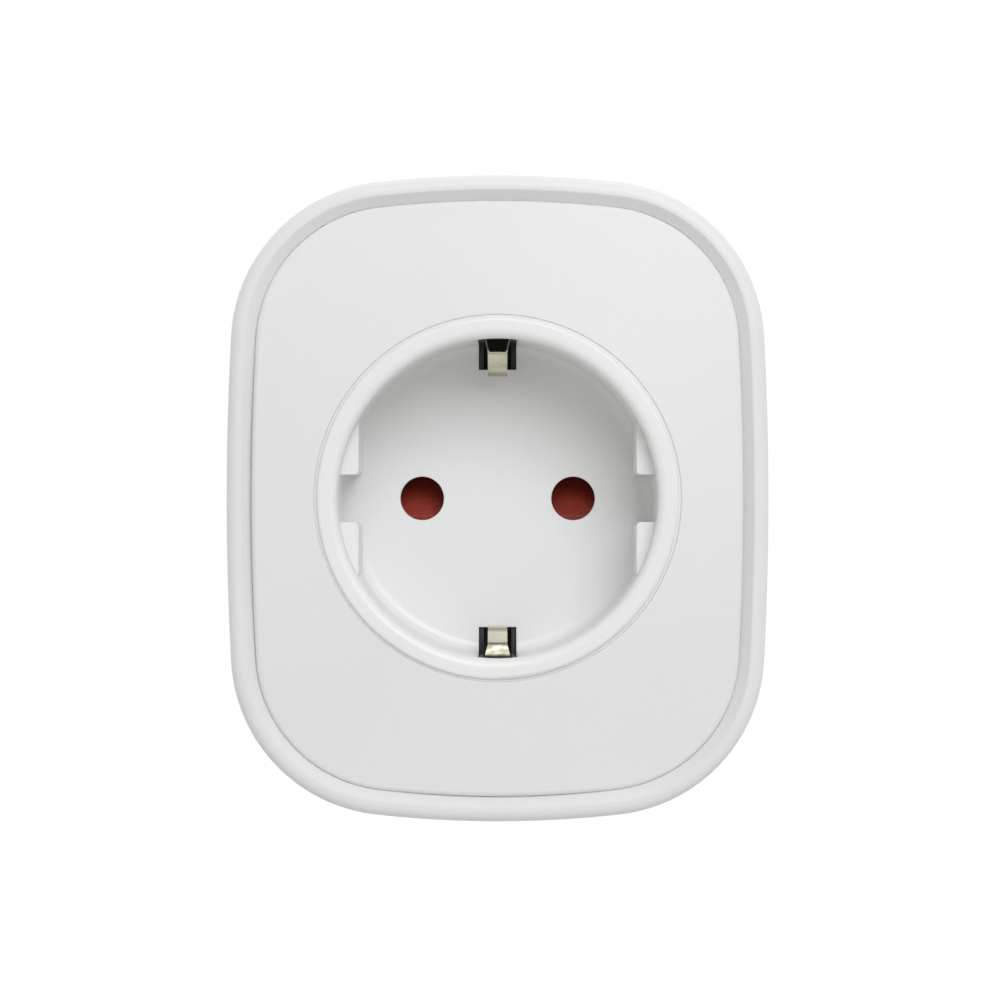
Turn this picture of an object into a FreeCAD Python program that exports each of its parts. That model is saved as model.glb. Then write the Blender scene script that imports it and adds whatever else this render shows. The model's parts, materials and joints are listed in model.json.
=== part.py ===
"""Smart plug with a side-earthed socket: a parametric assembly of its separate pieces.

Frame: origin at the centre of the plug face, which rests on the floor of the wall socket. The plug pins
point along +Y, the socket for the appliance faces -Y and +Z is up. "Station" means a distance in front
of the plug face, so a station is minus the Y coordinate. All sizes are millimetres.
"""

import FreeCAD
import Part
import Sketcher
import math
import os
from FreeCAD import Placement, Rotation, Vector

SIZES = {
    # casing outline, seen from the front: four long arcs joined by four corner arcs
    "body_w": 66.2,
    "body_h": 78.9,
    "side_r": 370.0,
    "top_r": 134.0,
    "corner_r": 19.9,
    # casing along the depth
    "boss_len": 17.0,
    "case_depth": 39.5,
    "rim_drop": 1.2,
    "seam_station": 34.0,
    "wall": 2.2,
    "shelf": 1.8,
    "recess": 2.7,
    "back_round": 4.5,
    "rim_round": 1.4,
    "rim_slope": 1.3,
    # face panel
    "panel_inset": 3.1,
    "panel_gap": 0.01,
    "panel_t": 2.0,
    "panel_hole": 22.35,
    "panel_bevel": 0.1,
    "panel_edge": 0.6,
    "panel_proud": 0.45,
    "dome_r": 300.0,
    # socket well
    "well_r": 19.5,
    "well_depth": 17.5,
    "well_wall": 1.8,
    "floor_t": 2.5,
    "collar_r": 22.05,
    "collar_in": 1.1,
    "groove_r": 22.34,
    "groove_depth": 0.47,
    "collar_out": 0.42,
    "flange_r": 25.6,
    "key_x": 17.0,
    "key_drop": 3.5,
    "notch_w": 5.8,
    "notch_round": 0.6,
    "window_w": 4.7,
    "window_in": 16.2,
    "pin_pitch": 19.0,
    "hole_r": 2.75,
    # contact base behind the well
    "base_r": 20.8,
    "base_back": 24.2,
    "horn_w": 6.8,
    "horn_t": 1.0,
    "chamber_r": 3.9,
    "clip_w": 3.3,
    "clip_t": 0.5,
    "leaf_w": 2.4,
    "yoke_t": 0.6,
    "base_post_r": 2.2,
    "base_post_len": 4.5,
    "base_pilot_r": 0.9,
    "slot_depth": 4.0,
    "liner_x": 1.72,
    "clip_root_z": 20.1,
    "clip_root_back": 3.6,
    "yoke_w": 3.2,
    "contact_w": 3.6,
    # shutter and its spring
    "shutter_half": 12.7,
    "shutter_bar_x": 5.9,
    "shutter_bar_drop": 1.9,
    "shutter_room": 14.2,
    "spring_room": 2.2,
    "spring_low": 14.35,
    "spring_r": 1.5,
    "spring_wire": 0.4,
    "spring_turns": 6.5,
    "shutter_pad": 6.4,
    "shutter_travel": 5.7,
    "shutter_t": 4.7,
    # plug boss and pins
    "boss_r": 18.6,
    "boss_flat": 16.6,
    "boss_rib": 5.0,
    "boss_hollow": 14.6,
    "face_t": 3.0,
    "flange_t": 1.35,
    "pin_tail": 12.0,
    "pin_neck": 0.4,
    "carrier_t": 4.0,
    "tube_wall": 0.7,
    "strap_z": 8.5,
    "pin_r": 2.4,
    "pin_len": 19.0,
    "pin_round": 2.0,
    "earth_r": 16.7,
    "earth_t": 0.6,
    "earth_w": 4.4,
    "french_z": 10.0,
    "french_r": 2.6,
    # fixings
    "post_x": 22.2,
    "post_z": 27.2,
    "post_r": 4.2,
    "case_screw_r": 1.4,
    "case_head_r": 2.7,
    "counterbore_r": 3.0,
    "counterbore_floor": 4.2,
    "board_screw_x": 25.5,
    "board_screw_z": 15.0,
    "seam_groove": 0.25,
    "hook_w": 6.0,
    "hook_t": 1.2,
    "base_screw_x": 13.5,
    "base_screw_z": 11.5,
    # circuit board
    "board_back": 21.0,
    "board_t": 1.6,
    "board_inset": 3.4,
    # side button and lamp
    "button_station": 25.2,
    "button_l": 10.0,
    "button_w": 5.0,
    "button_proud": 0.5,
    "button_gap": 0.15,
    "switch_depth": 3.6,
    "lamp_z": 10.0,
    "lamp_r": 1.25,
}

doc = FreeCAD.newDocument("smart_plug")
nodes = []


class Dim:
    """A length that carries its number and its spreadsheet expression through the same formula."""

    def __init__(self, value, text):
        self.value = value
        self.text = text

    def joined(self, other, sign, value):
        return Dim(value, f"({self.text} {sign} {other.text})")

    def __add__(self, other):
        other = as_dim(other)
        return self.joined(other, "+", self.value + other.value)

    def __sub__(self, other):
        other = as_dim(other)
        return self.joined(other, "-", self.value - other.value)

    def __mul__(self, other):
        other = as_dim(other)
        return self.joined(other, "*", self.value * other.value)

    def __truediv__(self, other):
        other = as_dim(other)
        return self.joined(other, "/", self.value / other.value)

    def __neg__(self):
        return as_dim(0) - self

    def __radd__(self, other):
        return as_dim(other) + self

    def __rsub__(self, other):
        return as_dim(other) - self

    def __rmul__(self, other):
        return as_dim(other) * self


def as_dim(value):
    return value if isinstance(value, Dim) else Dim(float(value), f"({float(value)!r})")


class Sizes:
    """The spreadsheet's cells as attributes, each a Dim."""

    def __init__(self, table):
        sheet = doc.addObject("Spreadsheet::Sheet", "dims")
        for row, (name, value) in enumerate(table.items(), start=1):
            sheet.set(f"A{row}", name)
            sheet.set(f"B{row}", str(value))
            sheet.setAlias(f"B{row}", name)
            setattr(self, name, Dim(value, f"dims.{name}"))


d = Sizes(SIZES)
doc.recompute()

FRONT = d.boss_len + d.case_depth
RIM = FRONT - d.rim_drop
SEAT = RIM - d.recess
SHELF_BACK = SEAT - d.shelf
FLOOR = FRONT - d.well_depth
FLOOR_BACK = FLOOR - d.floor_t
BACK_INSIDE = d.boss_len + d.wall
BASE_FRONT = FLOOR_BACK - 0.2
BOARD_FRONT = d.board_back + d.board_t
PIN_X = d.pin_pitch / 2
WELL_OUT = d.well_r + d.well_wall
CORNERS = [(1, 1), (-1, 1), (-1, -1), (1, -1)]


def bind(thing, prop, size):
    thing.setExpression(prop, as_dim(size).text)


def node(thing, label):
    """Marks an object as a finished piece of the assembly."""
    thing.Label = label
    nodes.append(thing)
    return thing


# ---------------------------------------------------------------- sketches


def new_body(name):
    return doc.addObject("PartDesign::Body", name)


def new_sketch(body, plane, offset=0):
    """A sketch on one of the body's own planes, offset along the plane's normal."""
    sketch = body.newObject("Sketcher::SketchObject", f"{body.Name}_sketch")
    support = next(f for f in body.Origin.OriginFeatures if f.Role == plane)
    sketch.AttachmentSupport = [(support, "")]
    sketch.MapMode = "FlatFace"
    bind(sketch, "AttachmentOffset.Base.z", offset)
    sketch.AttachmentOffset = Placement(Vector(0, 0, as_dim(offset).value), Rotation())
    return sketch


def front_sketch(body, station):
    """Local x is X, local y is Z, and the normal points to the front."""
    return new_sketch(body, "XZ_Plane", station)


def constrain(sketch, kind, *where, size=None):
    if size is None:
        return sketch.addConstraint(Sketcher.Constraint(kind, *where))
    index = sketch.addConstraint(Sketcher.Constraint(kind, *where, as_dim(size).value))
    bind(sketch, f"Constraints[{index}]", size)
    return index


def place_point(sketch, geometry, position, x, y):
    """Fixes a point of the sketch at (x, y), each bound to its own expression."""
    for size, kind, axis in ((x, "DistanceX", -2), (y, "DistanceY", -1)):
        if abs(as_dim(size).value) < 1e-9:
            constrain(sketch, "PointOnObject", geometry, position, axis)
        else:
            constrain(sketch, kind, -1, 1, geometry, position, size=size)


def polygon(sketch, corners):
    """A closed run of straight lines through the corners."""
    points = [Vector(as_dim(x).value, as_dim(y).value, 0) for x, y in corners]
    lines = [
        sketch.addGeometry(Part.LineSegment(points[i], points[(i + 1) % len(points)]))
        for i in range(len(points))
    ]
    for i, line in enumerate(lines):
        constrain(sketch, "Coincident", line, 2, lines[(i + 1) % len(lines)], 1)
        place_point(sketch, line, 1, *corners[i])


def rectangle(sketch, x0, x1, y0, y1):
    polygon(sketch, [(x0, y0), (x1, y0), (x1, y1), (x0, y1)])


def circle(sketch, x, y, radius):
    centre = Vector(as_dim(x).value, as_dim(y).value, 0)
    shape = Part.Circle(centre, Vector(0, 0, 1), as_dim(radius).value)
    index = sketch.addGeometry(shape)
    place_point(sketch, index, 3, x, y)
    constrain(sketch, "Radius", index, size=radius)


def corner_centre():
    """Centre of the upper right corner arc, from its tangency to the side and top arcs."""
    side = Vector(d.body_w.value / 2 - d.side_r.value, 0, 0)
    top = Vector(0, d.body_h.value / 2 - d.top_r.value, 0)
    reach_side = d.side_r.value - d.corner_r.value
    reach_top = d.top_r.value - d.corner_r.value
    between = top - side
    gap = between.Length
    along = (reach_side**2 - reach_top**2 + gap**2) / (2 * gap)
    across = math.sqrt(reach_side**2 - along**2)
    unit = between * (1 / gap)
    return side + unit * along + Vector(-unit.y, unit.x, 0) * across


def outline(sketch, inset=0):
    """The casing outline as eight tangent arcs, drawn parallel to itself by the inset."""
    inset = as_dim(inset)
    side_x = d.side_r - d.body_w / 2
    top_y = d.top_r - d.body_h / 2
    corner = corner_centre()
    flank = math.atan2(corner.y, corner.x + side_x.value)
    crown = math.atan2(corner.y + top_y.value, corner.x)
    quarter = math.pi / 2
    arcs = []
    for turn, (sx, sy) in enumerate(CORNERS):
        sideways = turn % 2 == 0
        near, far = (flank, quarter - crown) if sideways else (quarter - crown, flank)
        hub = Vector(-side_x.value, 0, 0) if sideways else Vector(0, -top_y.value, 0)
        hub = hub * (1 if turn < 2 else -1)
        middle = turn * quarter
        arcs.append((hub, d.side_r if sideways else d.top_r, middle - near, middle + near))
        hub = Vector(sx * corner.x, sy * corner.y, 0)
        arcs.append((hub, d.corner_r, middle + near, middle + quarter - far))
    made = []
    for centre, radius, begin, end in arcs:
        ring = Part.Circle(centre, Vector(0, 0, 1), radius.value - inset.value)
        made.append(sketch.addGeometry(Part.ArcOfCircle(ring, begin, end)))
    for i, index in enumerate(made):
        constrain(sketch, "Tangent", index, 2, made[(i + 1) % 8], 1)
        constrain(sketch, "Radius", index, size=arcs[i][1] - inset)
    for turn, size in ((0, -side_x), (2, side_x)):
        place_point(sketch, made[2 * turn], 3, size, 0)
    for turn, size in ((1, -top_y), (3, top_y)):
        place_point(sketch, made[2 * turn], 3, 0, size)


# ---------------------------------------------------------------- features


def checked(feature, before, grows):
    """Recomputes and refuses a feature that added or cut nothing."""
    doc.recompute()
    now = feature.Shape.Volume
    if "Invalid" in feature.State or (now <= before if grows else now >= before):
        raise RuntimeError(f"{feature.Name} changed nothing: {before:.1f} to {now:.1f}")
    return feature


def volume_of(body):
    return body.Shape.Volume if body.Tip else 0.0


def pad(body, sketch, length, reverse=False, middle=False):
    before = volume_of(body)
    feature = body.newObject("PartDesign::Pad", f"{body.Name}_pad")
    feature.Profile = sketch
    feature.Reversed = reverse
    feature.Midplane = middle
    feature.Length = as_dim(length).value
    bind(feature, "Length", length)
    return checked(feature, before, True)


def pocket(body, sketch, length, reverse=False, middle=False):
    before = volume_of(body)
    feature = body.newObject("PartDesign::Pocket", f"{body.Name}_pocket")
    feature.Profile = sketch
    feature.Reversed = reverse
    feature.Midplane = middle
    feature.Length = as_dim(length).value
    bind(feature, "Length", length)
    return checked(feature, before, False)


def revolve(body, sketch):
    feature = body.newObject("PartDesign::Revolution", f"{body.Name}_revolution")
    feature.Profile = sketch
    feature.ReferenceAxis = (sketch, ["V_Axis"])
    feature.Angle = 360.0
    return checked(feature, 0.0, True)


def dress(body, kind, size, picks):
    """A fillet or chamfer on the edges of the tip that pass the test."""
    base = body.Tip
    names = [f"Edge{i}" for i, e in enumerate(base.Shape.Edges, start=1) if picks(e)]
    if not names:
        raise RuntimeError(f"{body.Name} has no edge for its {kind}")
    feature = body.newObject(f"PartDesign::{kind}", f"{body.Name}_{kind}")
    feature.Base = (base, names)
    prop = "Radius" if kind == "Fillet" else "Size"
    setattr(feature, prop, as_dim(size).value)
    bind(feature, prop, size)
    doc.recompute()
    if "Invalid" in feature.State or feature.Shape.isNull():
        raise RuntimeError(f"{feature.Name} failed")
    return feature


def at_station(edge, station, slack=0.02):
    """Whether an edge lies in the plane of that station."""
    box = edge.BoundBox
    y = -as_dim(station).value
    return abs(box.YMin - y) < slack and abs(box.YMax - y) < slack


def radius_from_axis(edge, x=0.0, z=0.0):
    """Distance of the edge's middle from a line along Y through (x, z)."""
    first, last = edge.ParameterRange
    point = edge.valueAt((first + last) / 2)
    return math.hypot(point.x - x, point.z - z)


def is_ring(edge, station, radius, x=0.0, z=0.0):
    return at_station(edge, station) and abs(
        radius_from_axis(edge, x, z) - as_dim(radius).value
    ) < 0.02


# ---------------------------------------------------------------- primitives


def box(name, x0, x1, s0, s1, z0, z1):
    """A block between two X values, two stations and two Z values."""
    x0, x1, s0, s1, z0, z1 = (as_dim(v) for v in (x0, x1, s0, s1, z0, z1))
    block = doc.addObject("Part::Box", name)
    for prop, size in (("Length", x1 - x0), ("Width", s1 - s0), ("Height", z1 - z0)):
        setattr(block, prop, size.value)
        bind(block, prop, size)
    block.Placement = Placement(Vector(x0.value, -s1.value, z0.value), Rotation())
    for axis, size in (("x", x0), ("y", -s1), ("z", z0)):
        bind(block, f"Placement.Base.{axis}", size)
    return block


def rod(name, radius, s0, s1, x=0, z=0):
    """A cylinder along Y between two stations."""
    radius, s0, s1, x, z = (as_dim(v) for v in (radius, s0, s1, x, z))
    bar = doc.addObject("Part::Cylinder", name)
    for prop, size in (("Radius", radius), ("Height", s1 - s0)):
        setattr(bar, prop, size.value)
        bind(bar, prop, size)
    turned = Rotation(Vector(1, 0, 0), 90)
    bar.Placement = Placement(Vector(x.value, -s0.value, z.value), turned)
    for axis, size in (("x", x), ("y", -s0), ("z", z)):
        bind(bar, f"Placement.Base.{axis}", size)
    return bar


def fuse(name, things):
    joined = doc.addObject("Part::MultiFuse", name)
    joined.Shapes = things
    return joined


def cut(name, base, tools):
    tool = tools[0] if len(tools) == 1 else fuse(f"{name}_tools", tools)
    result = doc.addObject("Part::Cut", name)
    result.Base = base
    result.Tool = tool
    return result


def fixed_shape(name, shape):
    """A piece whose shape comes straight from Part's functions."""
    piece = doc.addObject("Part::Feature", name)
    piece.Shape = shape
    return piece


def rounded_path(points, radius):
    """Straight runs joined by tangent arcs of one radius."""
    edges, last = [], points[0]
    for before, corner, after in zip(points, points[1:], points[2:]):
        arriving = (corner - before).normalize()
        leaving = (after - corner).normalize()
        turn = arriving.getAngle(leaving)
        back = radius * math.tan(turn / 2)
        start, stop = corner - arriving * back, corner + leaving * back
        bisector = (leaving - arriving).normalize()
        hub = corner + bisector * (radius / math.cos(turn / 2))
        edges.append(Part.LineSegment(last, start).toShape())
        edges.append(Part.Arc(start, hub - bisector * radius, stop).toShape())
        last = stop
    edges.append(Part.LineSegment(last, points[-1]).toShape())
    return Part.Wire(edges)


def strip(points, width, thickness, radius, across):
    """A sheet-metal strip that follows a path; "across" is the direction of its width."""
    path = rounded_path(points, radius)
    along = (points[1] - points[0]).normalize()
    side = across * (width / 2)
    up = along.cross(across).normalize() * (thickness / 2)
    here = points[0]
    ring = [here + side + up, here - side + up, here - side - up, here + side - up]
    section = Part.makePolygon(ring + ring[:1])
    return path.makePipeShell([section], True, False)


# ---------------------------------------------------------------- casing


def corner_circles(sketch, radius):
    for sx, sz in CORNERS:
        circle(sketch, sx * d.post_x, sz * d.post_z, radius)


def make_front_housing():
    """Front half of the casing: rim, seat for the face panel, shelf with its hole and screw posts."""
    body = new_body("front_housing_body")
    sketch = front_sketch(body, d.seam_station)
    outline(sketch)
    pad(body, sketch, RIM - d.seam_station)
    dress(body, "Fillet", d.rim_round, lambda e: at_station(e, RIM))
    sketch = front_sketch(body, d.seam_station)
    outline(sketch, d.wall)
    pocket(body, sketch, SHELF_BACK - d.seam_station, reverse=True)
    sketch = front_sketch(body, RIM)
    seat_inset = d.panel_inset - d.panel_gap
    outline(sketch, seat_inset)
    pocket(body, sketch, d.recess)
    inner_x = d.body_w.value / 2 - seat_inset.value

    def inner_rim(edge):
        corner_reach = radius_from_axis(edge)
        return at_station(edge, RIM) and corner_reach < inner_x + 9.6 and on_inset(edge, seat_inset)

    dress(body, "Chamfer", d.rim_slope - 0.02, inner_rim)
    sketch = front_sketch(body, SEAT)
    circle(sketch, 0, 0, d.flange_r - 1.4)
    pocket(body, sketch, d.shelf + 1)
    sketch = front_sketch(body, d.seam_station)
    outline(sketch, d.wall / 2)
    pocket(body, sketch, 1.5, reverse=True)
    sketch = front_sketch(body, d.seam_station + 0.1)
    corner_circles(sketch, d.post_r - 1)
    pad(body, sketch, SHELF_BACK - d.seam_station)
    sketch = front_sketch(body, d.seam_station + 0.1)
    corner_circles(sketch, 1.05)
    pocket(body, sketch, 14, reverse=True)
    groove_seam(body)
    sketch = front_sketch(body, SEAT)
    for x, z, w, h in hook_places():
        rectangle(sketch, x - w / 2 - 0.2, x + w / 2 + 0.2, z - h / 2 - 0.2, z + h / 2 + 0.2)
    pocket(body, sketch, d.shelf + 1)
    node(body, "front_housing")


def groove_seam(body):
    """Breaks the outer edge at the seam, so that the two casing halves meet in a fine groove."""

    def outer_seam(edge):
        return at_station(edge, d.seam_station) and on_inset(edge, 0)

    dress(body, "Chamfer", d.seam_groove, outer_seam)


def on_inset(edge, inset):
    """Whether the edge's middle lies on the casing outline moved inward by the inset."""
    first, last = edge.ParameterRange
    point = edge.valueAt((first + last) / 2)
    x, z = abs(point.x), abs(point.z)
    corner = corner_centre()
    side_x = d.side_r.value - d.body_w.value / 2
    top_y = d.top_r.value - d.body_h.value / 2
    gaps = (
        math.hypot(x + side_x, z) - d.side_r.value,
        math.hypot(x, z + top_y) - d.top_r.value,
        math.hypot(x - corner.x, z - corner.y) - d.corner_r.value,
    )
    return any(abs(gap + as_dim(inset).value) < 0.01 for gap in gaps)


def hook_places():
    """(x, z, width along X, width along Z) of the panel's four snap hooks."""
    return (
        (as_dim(0), d.body_h / 2 - 8, d.hook_w, d.hook_t),
        (as_dim(0), 8 - d.body_h / 2, d.hook_w, d.hook_t),
        (d.body_w / 2 - 5.2, as_dim(0), d.hook_t, d.hook_w),
        (5.2 - d.body_w / 2, as_dim(0), d.hook_t, d.hook_w),
    )


def make_face_panel():
    """Crowned panel with a round hole, a stiffening rim behind its edge and four hooks."""
    body = new_body("face_panel_body")
    sketch = new_sketch(body, "XY_Plane")
    reach = 46.0
    dome_top = FRONT + d.panel_proud
    centre = as_dim(-1) * (dome_top - d.dome_r)
    inner_r = d.dome_r - d.panel_t
    lip = d.panel_hole + d.panel_bevel

    def on_dome(radius, r):
        return math.sqrt(as_dim(radius).value ** 2 - as_dim(r).value ** 2)

    corners = []
    outer = as_dim(reach)
    for radius, r in ((inner_r, d.panel_hole), (inner_r, outer), (d.dome_r, outer), (d.dome_r, lip)):
        corners.append(Vector(r.value, centre.value - on_dome(radius, r), 0))
    bevel = Vector(d.panel_hole.value, corners[3].y + d.panel_bevel.value, 0)
    hub = Vector(0, centre.value, 0)

    def arc_between(radius, begin, end):
        angles = sorted(math.atan2(p.y - hub.y, p.x) for p in (begin, end))
        ring = Part.Circle(hub, Vector(0, 0, 1), as_dim(radius).value)
        return Part.ArcOfCircle(ring, *angles)

    back = sketch.addGeometry(arc_between(inner_r, corners[0], corners[1]))
    edge = sketch.addGeometry(Part.LineSegment(corners[1], corners[2]))
    front = sketch.addGeometry(arc_between(d.dome_r, corners[2], corners[3]))
    slope = sketch.addGeometry(Part.LineSegment(corners[3], bevel))
    bore = sketch.addGeometry(Part.LineSegment(bevel, corners[0]))
    constrain(sketch, "Coincident", back, 2, edge, 1)
    constrain(sketch, "Coincident", edge, 2, front, 2)
    constrain(sketch, "Coincident", front, 1, slope, 1)
    constrain(sketch, "Coincident", slope, 2, bore, 1)
    constrain(sketch, "Coincident", bore, 2, back, 1)
    constrain(sketch, "Vertical", edge)
    constrain(sketch, "Vertical", bore)
    for index, radius in ((back, inner_r), (front, d.dome_r)):
        place_point(sketch, index, 3, 0, centre)
        constrain(sketch, "Radius", index, size=radius)
    constrain(sketch, "DistanceX", -1, 1, edge, 1, size=reach)
    constrain(sketch, "DistanceX", -1, 1, bore, 1, size=d.panel_hole)
    constrain(sketch, "DistanceX", -1, 1, slope, 1, size=lip)
    constrain(sketch, "DistanceY", slope, 1, slope, 2, size=d.panel_bevel)
    revolve(body, sketch)
    sketch = front_sketch(body, SEAT - 2)
    outline(sketch, d.panel_inset)
    circle(sketch, 0, 0, 60)
    pocket(body, sketch, 10, reverse=True)
    sketch = front_sketch(body, SEAT + 0.1)
    outline(sketch, d.panel_inset)
    outline(sketch, d.panel_inset + 1.6)
    pad(body, sketch, 1.2)
    sketch = front_sketch(body, SEAT + 0.05)
    circle(sketch, 0, 0, 60)
    pocket(body, sketch, 5)

    def front_rim(edge):
        box = edge.BoundBox
        level = box.YMax < 3.2 - FRONT.value and box.YLength < 1.5
        return level and on_inset(edge, d.panel_inset)

    dress(body, "Fillet", d.panel_edge, front_rim)
    add_hooks(body)
    node(body, "face_panel")


def add_hooks(body):
    """Snap hooks that pass through the shelf and catch behind it."""
    sketch = front_sketch(body, SHELF_BACK - 1.4)
    for x, z, w, h in hook_places():
        rectangle(sketch, x - w / 2, x + w / 2, z - h / 2, z + h / 2)
    pad(body, sketch, d.shelf + 3.3)


def make_socket_insert():
    """Round socket well with its collar, flange, key blocks, pin holes and earth windows."""
    body = new_body("socket_insert_body")
    sketch = new_sketch(body, "XY_Plane")
    flange = SEAT + 1
    profile = [
        (0, FLOOR),
        (d.well_r, FLOOR),
        (d.well_r, FRONT),
        (d.collar_r, FRONT),
        (d.collar_r, FRONT - d.groove_depth),
        (d.groove_r, FRONT - d.groove_depth),
        (d.groove_r, flange),
        (d.flange_r, flange),
        (d.flange_r, SEAT),
        (WELL_OUT, SEAT),
        (WELL_OUT, FLOOR_BACK),
        (0, FLOOR_BACK),
    ]
    polygon(sketch, [(r, -as_dim(s)) for r, s in profile])
    revolve(body, sketch)
    dress(body, "Fillet", d.collar_in, lambda e: is_ring(e, FRONT, d.well_r))
    dress(body, "Fillet", d.collar_out, lambda e: is_ring(e, FRONT, d.collar_r))
    dress(body, "Fillet", 1.4, lambda e: is_ring(e, FLOOR, d.well_r))
    add_keys(body)
    add_windows(body)
    sketch = front_sketch(body, FLOOR)
    for side in (-1, 1):
        circle(sketch, side * PIN_X, 0, d.hole_r)
    pocket(body, sketch, d.floor_t + 1)
    add_base_posts(body)
    node(body, "socket_insert")


def add_keys(body):
    """Four blocks that square off the sides of the well and leave a notch between each pair."""
    top = math.sqrt(d.well_r.value**2 - d.key_x.value**2) + 0.25
    sketch = front_sketch(body, FLOOR - 0.5)
    half = d.notch_w / 2
    for sx, sz in CORNERS:
        corners = [
            (sx * d.key_x, sz * half),
            (sx * (d.key_x + 2.9), sz * half),
            (sx * (d.key_x + 2.9), sz * as_dim(6.0)),
            (sx * (d.key_x + 1.6), sz * as_dim(top)),
            (sx * d.key_x, sz * as_dim(top)),
        ]
        polygon(sketch, corners)
    pad(body, sketch, d.well_depth - d.key_drop + 0.5)

    def notch_corner(edge):
        box = edge.BoundBox
        x, z = abs(box.Center.x), abs(box.Center.z)
        straight = box.XLength < 0.01 and box.ZLength < 0.01 and box.YLength > 5
        return straight and abs(x - d.key_x.value) < 0.01 and abs(z - half.value) < 0.01

    dress(body, "Fillet", d.notch_round, notch_corner)


def add_windows(body):
    """Slots through the floor and wall for the earth clips, and the flange's notches for the horns."""
    for side in (-1, 1):
        sketch = front_sketch(body, FLOOR_BACK - 1)
        rectangle(sketch, -d.window_w / 2, d.window_w / 2, side * d.window_in, side * (WELL_OUT + 0.3))
        pocket(body, sketch, FRONT - 1.6 - FLOOR_BACK + 1, reverse=True)
        sketch = front_sketch(body, SEAT - 1)
        notch = (d.horn_w + 0.6) / 2
        rectangle(sketch, -notch, notch, side * (WELL_OUT + 0.1), side * (d.flange_r + 1))
        pocket(body, sketch, 3, reverse=True)


def add_base_posts(body):
    """Two posts behind the floor that take the base screws."""
    for radius, cutting in ((d.base_post_r, False), (d.base_pilot_r, True)):
        sketch = front_sketch(body, FLOOR_BACK - d.base_post_len)
        for side in (-1, 1):
            circle(sketch, side * d.base_screw_x, side * d.base_screw_z, radius)
        if cutting:
            pocket(body, sketch, d.base_post_len + 1, reverse=True)
        else:
            pad(body, sketch, d.base_post_len + 0.5)


def make_contact_base():
    """Base behind the well that holds the contacts and the shutter and lines the earth windows."""
    body = new_body("contact_base_body")
    depth = BASE_FRONT - d.base_back
    sketch = front_sketch(body, d.base_back)
    circle(sketch, 0, 0, d.base_r)
    pad(body, sketch, depth)
    horn_out = WELL_OUT + 0.1 + d.horn_t
    half = d.horn_w / 2
    sketch = front_sketch(body, d.base_back)
    rectangle(sketch, -half, half, -horn_out, horn_out)
    pad(body, sketch, depth)
    for side in (-1, 1):
        sketch = front_sketch(body, BASE_FRONT - 1)
        rectangle(sketch, -half, half, side * (WELL_OUT + 0.1), side * horn_out)
        pad(body, sketch, SEAT + 1.2 - BASE_FRONT + 1)
        sketch = front_sketch(body, d.base_back - 1)
        rectangle(sketch, -d.liner_x, d.liner_x, side * (WELL_OUT - 0.9), side * (WELL_OUT + 0.1))
        pocket(body, sketch, depth + 2, reverse=True)
        sketch = front_sketch(body, BASE_FRONT)
        rectangle(sketch, -d.liner_x, d.liner_x, side * (d.window_in - 0.6), side * (WELL_OUT - 0.8))
        pocket(body, sketch, d.slot_depth)
        add_window_liner(body, side)
    sketch = front_sketch(body, BASE_FRONT)
    shutter_half = d.shutter_pad / 2
    low = -(shutter_half + d.shutter_travel + 0.4)
    rectangle(sketch, -d.shutter_room, d.shutter_room, low, shutter_half + 0.2)
    pocket(body, sketch, d.shutter_t + 0.3)
    sketch = front_sketch(body, BASE_FRONT)
    rectangle(sketch, -d.spring_room, d.spring_room, -(d.spring_low + 0.05), low + 0.4)
    pocket(body, sketch, d.shutter_t + 0.3)
    sketch = front_sketch(body, d.base_back)
    for side in (-1, 1):
        circle(sketch, side * PIN_X, 0, d.chamber_r)
    pocket(body, sketch, depth, reverse=True)
    post_room = (d.base_post_r + 0.2, FLOOR_BACK - d.base_post_len - 0.2, 5)
    for radius, start, deep in (post_room, (1.2, d.base_back, 10), (2.3, d.base_back, 2.2)):
        sketch = front_sketch(body, start)
        for side in (-1, 1):
            circle(sketch, side * d.base_screw_x, side * d.base_screw_z, radius)
        pocket(body, sketch, deep, reverse=True)
    node(body, "contact_base")


def add_window_liner(body, side):
    """Thin walls that line the two sides of an earth window, in the floor and in the well's wall."""
    outside = WELL_OUT + 0.3
    runs = (
        (BASE_FRONT - 0.5, FLOOR - 0.2, d.window_in + 0.15),
        (FLOOR - 0.3, FRONT - 1.8, d.well_r + 0.05),
    )
    for start, stop, low in runs:
        sketch = front_sketch(body, start)
        for sx in (-1, 1):
            rectangle(sketch, sx * d.liner_x, sx * (d.window_w / 2 - 0.07), side * low, side * outside)
        pad(body, sketch, stop - start)


def make_rear_housing():
    """Rear half of the casing with its seam lip, posts, side openings and label recess."""
    body = new_body("rear_housing_body")
    sketch = front_sketch(body, d.boss_len)
    outline(sketch)
    pad(body, sketch, d.seam_station - d.boss_len)
    dress(body, "Fillet", d.back_round, lambda e: at_station(e, d.boss_len))
    sketch = front_sketch(body, d.seam_station)
    outline(sketch, d.wall)
    pocket(body, sketch, d.seam_station - BACK_INSIDE)
    sketch = front_sketch(body, d.seam_station - 3)
    outline(sketch, d.wall / 2 + 0.1)
    outline(sketch, d.wall)
    pad(body, sketch, 4.3)
    sketch = front_sketch(body, d.boss_len)
    circle(sketch, 0, 0, d.boss_r + 0.03)
    pocket(body, sketch, d.wall + 1, reverse=True)
    add_rear_posts(body)
    groove_seam(body)
    add_side_openings(body)
    node(body, "rear_housing")


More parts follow.
